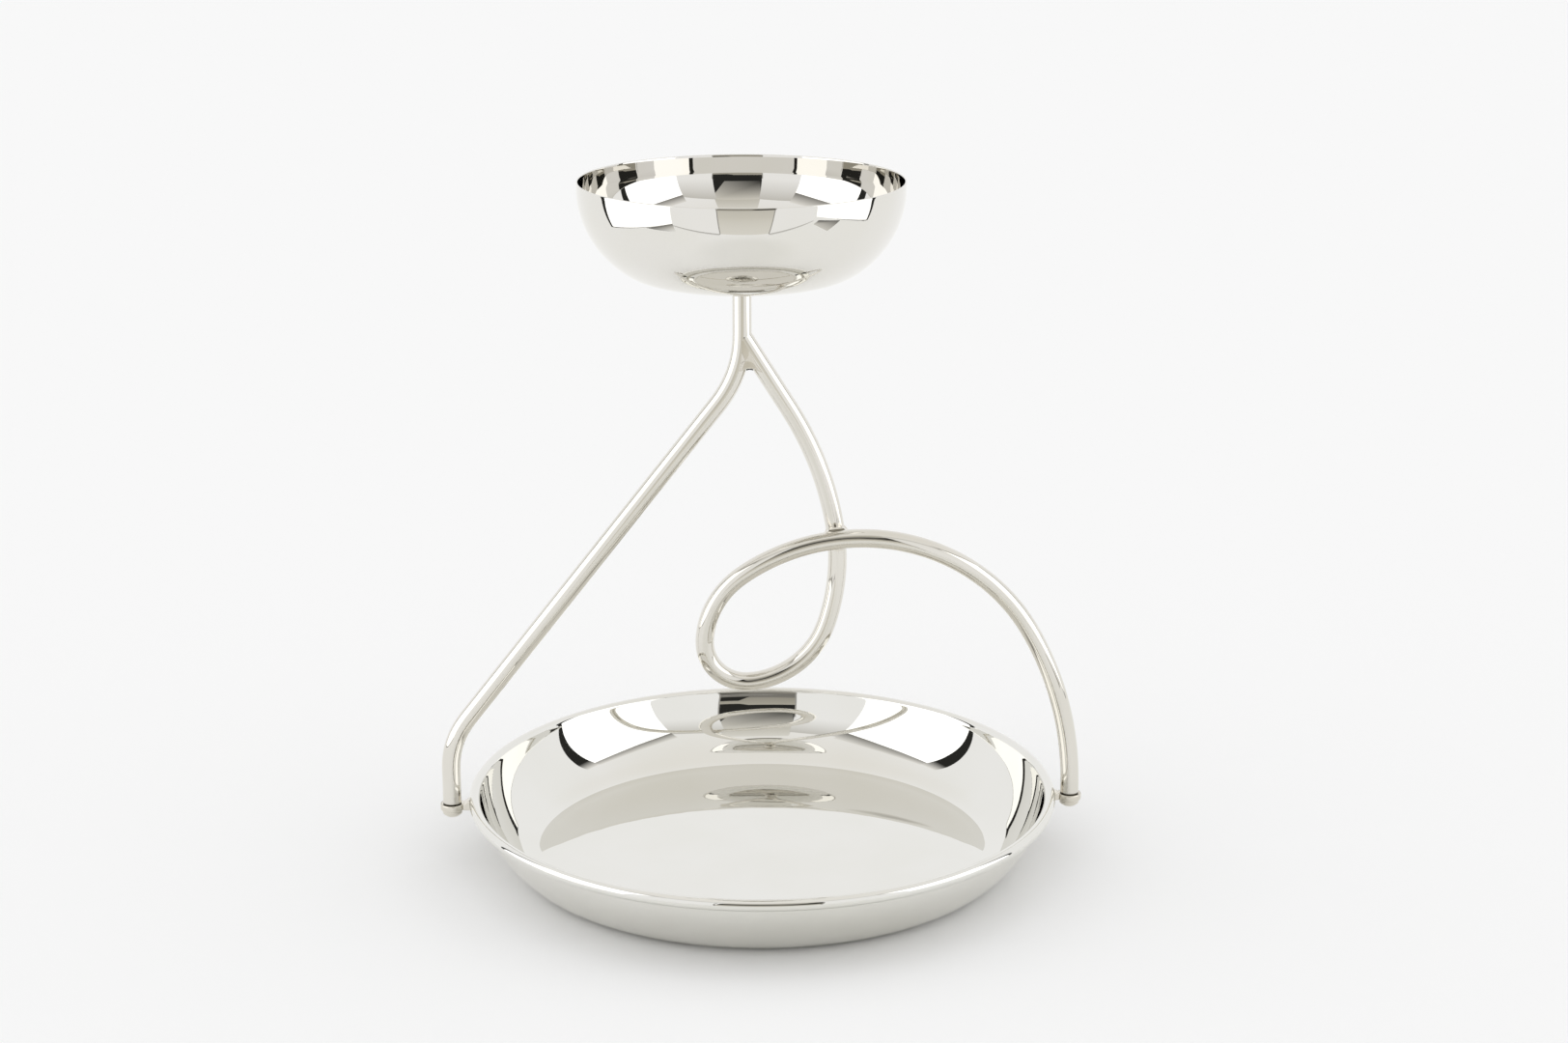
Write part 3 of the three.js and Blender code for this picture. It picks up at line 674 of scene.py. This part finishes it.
card_glow = bpy.data.materials.new("studio_card_glow")
card_glow.use_nodes = True
tree = card_glow.node_tree
tree.nodes.clear()
glow = node(tree, "Attribute", {"attribute_name": "glow"})
light = node(tree, "Emission", color=glow.outputs["Color"])
node(tree, "OutputMaterial", surface=light.outputs["Emission"])

WHITE_GLOW = (1.65, 1.65, 1.65, 1)  # the softboxes' fronts, brighter than white
# Black of the cloth, also the painted shadow's darkest corner on the table
BLACK_CLOTH_AND_SHADOW = linear("#2c2c2a")
LINE = linear("#62615e")
SHADE = linear("#a9a7a3")
DARK = linear("#7b7975")
SOFT = linear("#dddbd6")
PALE = linear("#ffffff")
CLEAR = linear("#f6f4f0")

# Softboxes to the left and right, leaning inwards. Each is its four corners, at the back below, in
# front below, in front above and at the back above, and how far along the line under it goes.
SOFTBOXES = (
    ("left", (-0.623, 0.165, 0.010), (-0.594, -0.500, 0.010), (-0.398, -0.354, 0.572),
     (-0.617, 0.159, 0.60), 0.6),
    ("right", (0.768, 0.060, 0.010), (0.605, -0.530, 0.090), (0.518, -0.469, 0.68),
     (0.848, 0.109, 0.745), 0.62),
)


def box_card(name, corners, places, colours, behind=1.0):
    """A card in the plane of a softbox. Each of its places is the share of the way to the front and
    the share of the way up, and behind is how many times as far off it hangs."""
    low_back, low_front, high_front, high_back = np.array(corners)
    points = []
    for along, up in places:
        low = low_back + along * (low_front - low_back)
        high = high_back + along * (high_front - high_back)
        points.append((low + up * (high - low)) * [behind, behind, 1])
    card(name, points, colours)


# Outlines as shares of the way to a softbox's front and of the way up: its front, its dark side,
# wider towards the top, where it turns pale, and the soft shade over its upper edge
BOX_FACE = [(0, 0), (1, 0), (1, 1), (0, 1)]
BOX_SIDE = [(-0.035, -0.02), (0.1, -0.02), (0.1, 0.87), (-0.19, 0.87)]
BOX_SIDE_TOP = [(-0.19, 0.87), (0.1, 0.87), (0.1, 1.12), (-0.22, 1.12)]
BOX_SHADE = [(0, 1), (1, 1), (1, 1.22), (0, 1.14)]
LINE_DROPS = (-0.014, -0.01)  # of the thin dark line under it, at its two ends
SIDE_BEHIND = 1.01
SHADE_BEHIND = 1.005

for name, *corners, start in SOFTBOXES:
    line = [(0, LINE_DROPS[0]), (start, LINE_DROPS[1]), (start, 0), (0, 0)]
    box_card(name + "_softbox", corners, BOX_FACE, [WHITE_GLOW] * 4)
    box_card(name + "_frame", corners, BOX_SIDE, [BLACK_CLOTH_AND_SHADOW] * 4, SIDE_BEHIND)
    box_card(name + "_frame_top", corners, BOX_SIDE_TOP,
             [BLACK_CLOTH_AND_SHADOW, BLACK_CLOTH_AND_SHADOW, CLEAR, CLEAR], SIDE_BEHIND)
    box_card(name + "_line", corners, line, [LINE] * 4, SHADE_BEHIND)
    box_card(name + "_shade_over", corners, BOX_SHADE, [SHADE, DARK, CLEAR, CLEAR], SHADE_BEHIND)

# Painted shadows on the table under the front parts of the softboxes, the right one black at its far
# corner
ON_TABLE = 0.002
FLOOR_SHADES = (
    ("left", (-0.605, -0.20), (-0.415, -0.366), (-0.50, -0.43), (-0.60, -0.51),
     (LINE, PALE, SOFT, DARK)),
    ("right", (0.775, -0.30), (0.471, -0.271), (0.55, -0.50), (0.70, -0.56),
     (LINE, SOFT, SOFT, BLACK_CLOTH_AND_SHADOW)),
)
for name, *places, colours in FLOOR_SHADES:
    card(name + "_floor_shade", [(*place, ON_TABLE) for place in places], colours)

# The front wall on each side of the opening, with shaded edges, painted shade greying its upper part
# and a shade on the table at its foot.
# Each side is the wall's outer end at the table and at the top, then the opening's edge at the
# table, at the kink and at the top.
WALL_Y = -0.50
WALL_KINK = 0.12
WALL_MIDDLE = 0.42
WALL_TOP = 0.74
EDGE = 0.007
FOOT_SHADE = 0.04
# Painted shade: the wall greys from pale at mid height to this colour at its top
WALL_HEAD_SHADE = linear("#d2d0cb")
WALLS = (
    ("left", (-0.560, -0.475), (-0.430, -0.380), (-0.153, -0.157, -0.170)),
    ("right", (0.660, -0.610), (0.535, -0.485), (0.142, 0.152, 0.182)),
)
for name, foot, head, edges in WALLS:
    rim = math.copysign(EDGE, edges[0])
    low, kink, high = [(x, WALL_Y) for x in edges]
    low_in, kink_in, high_in = [(x + rim, WALL_Y) for x in edges]
    upright(name + "_wall_low", foot, low_in, (0, WALL_KINK), PALE, PALE, (foot, kink_in))
    upright(name + "_wall", foot, kink_in, (WALL_KINK, WALL_MIDDLE), PALE, PALE, (head, high_in))
    upright(name + "_wall_top", head, high, (WALL_MIDDLE, WALL_TOP), PALE, WALL_HEAD_SHADE)
    upright(name + "_edge_low", low_in, low, (0, WALL_KINK), SHADE, SHADE, (kink_in, kink))
    upright(name + "_edge", kink_in, kink, (WALL_KINK, WALL_MIDDLE), SHADE, SHADE, (high_in, high))
    inwards = 1 - FOOT_SHADE / np.hypot(*foot)
    card(name + "_wall_shade",
         [(*foot, ON_TABLE), (*low, ON_TABLE), (low[0], WALL_Y + FOOT_SHADE, ON_TABLE),
          (foot[0] * inwards, foot[1] * inwards, ON_TABLE)], [SHADE, SHADE, PALE, PALE])

# What shows through the opening, from the table up: a pale floor and its foot, a dark line, a grey
# part, a black band, a back that turns pale upwards and to the right, and a pale top
FAR_Y = -1.2
FAR_LEFT, FAR_RIGHT = -0.40, 0.47
FAR_SIDES = (FAR_LEFT, FAR_RIGHT)
FOOT_TOP, LINE_TOP, LOW_TOP, BAND_TOP, BACK_TOP, FAR_TOP = 0.235, 0.30, 0.49, 0.661, 1.31, 1.85
FLOOR_NEAR, FLOOR_FAR, FOOT_HEAD = linear("#ebe9e2"), linear("#dcd9d0"), linear("#d1cec5")
LINE_HEAD = linear("#8a8780")
LOW_FOOT, LOW_HEAD = linear("#a19d92"), linear("#b4b0a5")
BACK_LEFT, BACK_RIGHT, BACK_HEAD = linear("#30302e"), linear("#aaa8a3"), linear("#dedbd3")
TOP_FOOT, TOP_HEAD = linear("#d2cfc6"), linear("#eae8e2")


def far(name, x, z, low, high, high_x=None, nearer=0.0):
    """An upright card across the far end of what the opening shows."""
    y = FAR_Y + nearer
    high_ends = high_x and ((high_x[0], y), (high_x[1], y))
    upright(name, (x[0], y), (x[1], y), z, low, high, high_ends)


card("opening_floor", [(WALLS[0][3][0], WALL_Y, ON_TABLE), (WALLS[1][3][0], WALL_Y, ON_TABLE),
                       (FAR_RIGHT, FAR_Y, ON_TABLE), (FAR_LEFT, FAR_Y, ON_TABLE)],
     [FLOOR_NEAR, FLOOR_NEAR, FLOOR_FAR, FLOOR_FAR])
far("opening_foot", FAR_SIDES, (0.0, FOOT_TOP), FLOOR_FAR, FOOT_HEAD)
far("opening_line", FAR_SIDES, (FOOT_TOP, LINE_TOP), DARK, LINE_HEAD)
far("opening_low", FAR_SIDES, (LINE_TOP, LOW_TOP), LOW_FOOT, LOW_HEAD)
far("opening_band", FAR_SIDES, (LOW_TOP, BAND_TOP), BLACK_CLOTH_AND_SHADOW, BLACK_CLOTH_AND_SHADOW)
card("opening_back", [(FAR_LEFT, FAR_Y, BAND_TOP), (FAR_RIGHT, FAR_Y, BAND_TOP),
                      (FAR_RIGHT, FAR_Y, BACK_TOP), (FAR_LEFT, FAR_Y, BACK_TOP)],
     [BACK_LEFT, BACK_RIGHT, BACK_HEAD, BACK_HEAD])
far("opening_top", FAR_SIDES, (BACK_TOP, FAR_TOP), TOP_FOOT, TOP_HEAD)

# Black cloth on the right, over and under a pale line and up the side, and a little on the left.
# Each is its ends at the foot, its heights and its ends at the head.
CLOTH_NEARER = 0.01
CLOTHS = (
    ("right_low", (0.07, FAR_RIGHT), (0.27, 0.37), (0.17, FAR_RIGHT)),
    ("right_over", (0.17, FAR_RIGHT), (0.45, 0.50), (0.05, FAR_RIGHT)),
    ("right_side", (0.2, FAR_RIGHT), (0.6, 1.04), (0.42, FAR_RIGHT)),
    ("left_side", (FAR_LEFT, -0.35), (0.6, 1.0), (FAR_LEFT, -0.38)),
)
for name, foot, heights, head in CLOTHS:
    far("opening_" + name, foot, heights, BLACK_CLOTH_AND_SHADOW, BLACK_CLOTH_AND_SHADOW, head, CLOTH_NEARER)

# The table, a sweep of matt white paper, and the pale studio round it. The metal sees the paper
# lighter, a painted light, with a painted shade, a darker patch in front of the dish, and the ceiling
# a little darker. The patch is a place, and the distances from it at which it starts to fade and has
# faded. Everything else is lit evenly, more from the sides and from above than from the front and the
# back.
TABLE_SIZE = 24
PAPER = "#f8f8f8"
# Painted light: the paper as the metal sees it, lighter than PAPER
MIRRORED_PAPER = "#fefefd"
# Painted shade: the paper the metal sees in the patch in front of the dish
FRONT_PAPER_SHADE = "#f4f4f1"
FRONT_PLACE = (0, -0.28, 0)
FRONT_FADE = (0.08, 0.24)
WALL_GLOW = linear("#ffffff")
CEILING_GLOW = linear("#f7f5f1")
CEILING_FADE = (0.5, 1.0)  # upward parts of a direction
EVEN_LIGHT, SIDE_LIGHT, TOP_LIGHT = 0.45, 0.8, 0.7
bpy.ops.mesh.primitive_plane_add(size=TABLE_SIZE)
table = bpy.context.object
table.name = "table"
paper = bpy.data.materials.new("matt_white_paper")
paper.use_nodes = True
tree = paper.node_tree
tree.nodes.clear()
path = node(tree, "LightPath")
white = node(tree, "BsdfDiffuse", color=linear(PAPER))
# The paper the metal sees: painted shade in the patch in front of the dish, painted light elsewhere
apart = node(tree, "VectorMath", {"operation": "DISTANCE"},
             i0=node(tree, "TexCoord").outputs["Object"], i1=FRONT_PLACE)
lit = node(tree, "MapRange", {"interpolation_type": "SMOOTHSTEP"}, value=apart.outputs["Value"],
           from_min=FRONT_FADE[0], from_max=FRONT_FADE[1])
sheet = node(tree, "MixRGB", fac=lit.outputs["Result"], color1=linear(FRONT_PAPER_SHADE),
             color2=linear(MIRRORED_PAPER))
mirrored = node(tree, "BsdfDiffuse", color=sheet.outputs["Color"])
both = node(tree, "MixShader", i0=path.outputs["Is Glossy Ray"], i1=white.outputs[0],
            i2=mirrored.outputs[0])
node(tree, "OutputMaterial", surface=both.outputs[0])
table.data.materials.append(paper)

world = bpy.data.worlds.new("white_studio")
bpy.context.scene.world = world
world.use_nodes = True
tree = world.node_tree
tree.nodes.clear()
path = node(tree, "LightPath")
towards = node(tree, "TexCoord").outputs["Generated"]
squares = node(tree, "VectorMath", {"operation": "MULTIPLY"}, i0=towards, i1=towards)
extra = node(tree, "VectorMath", {"operation": "DOT_PRODUCT"}, i0=squares.outputs["Vector"],
             i1=(SIDE_LIGHT, 0, TOP_LIGHT))
level = node(tree, "Math", {"operation": "ADD"}, i0=extra.outputs["Value"], i1=EVEN_LIGHT)
parts = node(tree, "SeparateXYZ", vector=towards)
raised = node(tree, "MapRange", {"interpolation_type": "SMOOTHSTEP"}, value=parts.outputs["Z"],
              from_min=CEILING_FADE[0], from_max=CEILING_FADE[1])
walls = node(tree, "MixRGB", fac=raised.outputs["Result"], color1=WALL_GLOW, color2=CEILING_GLOW)
plain = node(tree, "Background", color=(1, 1, 1, 1), strength=level.outputs["Value"])
seen = node(tree, "Background", color=linear(PAPER))
in_metal = node(tree, "Background", color=walls.outputs["Color"])
for_metal = node(tree, "MixShader", i0=path.outputs["Is Glossy Ray"], i1=plain.outputs[0],
                 i2=in_metal.outputs[0])
for_camera = node(tree, "MixShader", i0=path.outputs["Is Camera Ray"], i1=for_metal.outputs[0],
                  i2=seen.outputs[0])
node(tree, "OutputWorld", surface=for_camera.outputs[0])

bpy.context.scene.view_settings.view_transform = "Standard"
